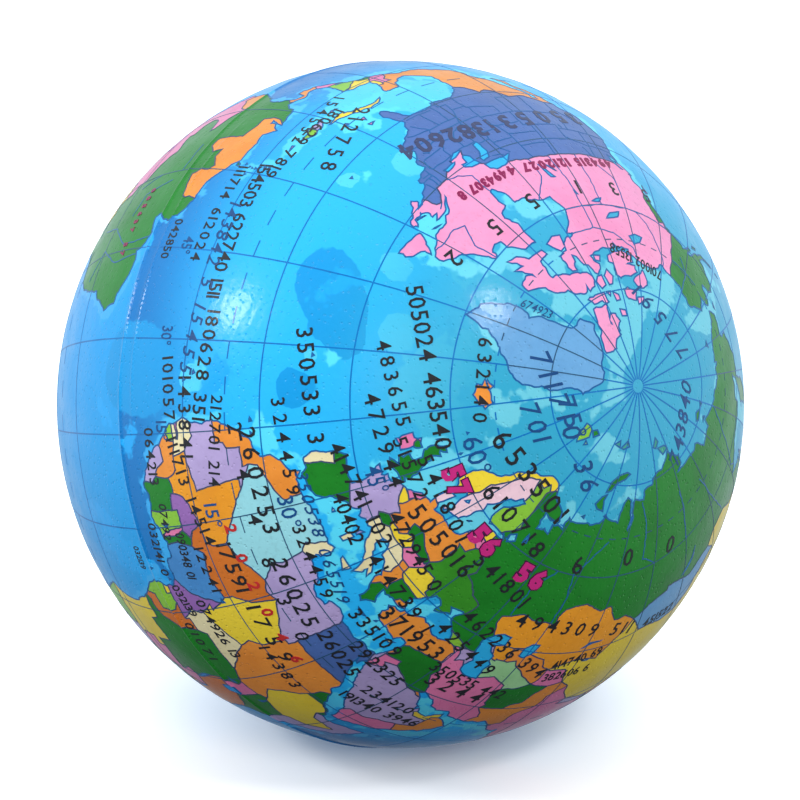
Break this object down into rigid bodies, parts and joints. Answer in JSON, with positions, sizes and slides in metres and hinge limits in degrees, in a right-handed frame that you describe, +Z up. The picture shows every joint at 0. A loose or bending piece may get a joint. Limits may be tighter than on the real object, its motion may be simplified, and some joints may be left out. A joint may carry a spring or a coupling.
{
  "type": "stress ball",
  "caption": "Soft foam squeeze ball printed as a world globe, with a moulded skin, a parting ridge and a printed film over each half.",
  "frame": {"origin": "centre of the ball", "axes": "+Z up as the ball lies; the printed north pole points 11.5 degrees above the horizon, on a heading 48 degrees from +X towards -Y"},
  "size_m": [0.063, 0.063, 0.063],
  "materials": {
    "core_foam": "soft open-celled polyurethane foam",
    "skin": "dense self-skinned polyurethane, satin blue",
    "north_print": "printed map film, soft gloss over a fine pitted grain",
    "south_print": "printed map film, soft gloss over a fine pitted grain"
  },
  "bodies": {
    "root": {"foam_core": "core_foam", "moulded_skin": "skin", "map_film_north": "north_print", "map_film_south": "south_print"}
  },
  "joints": []
}
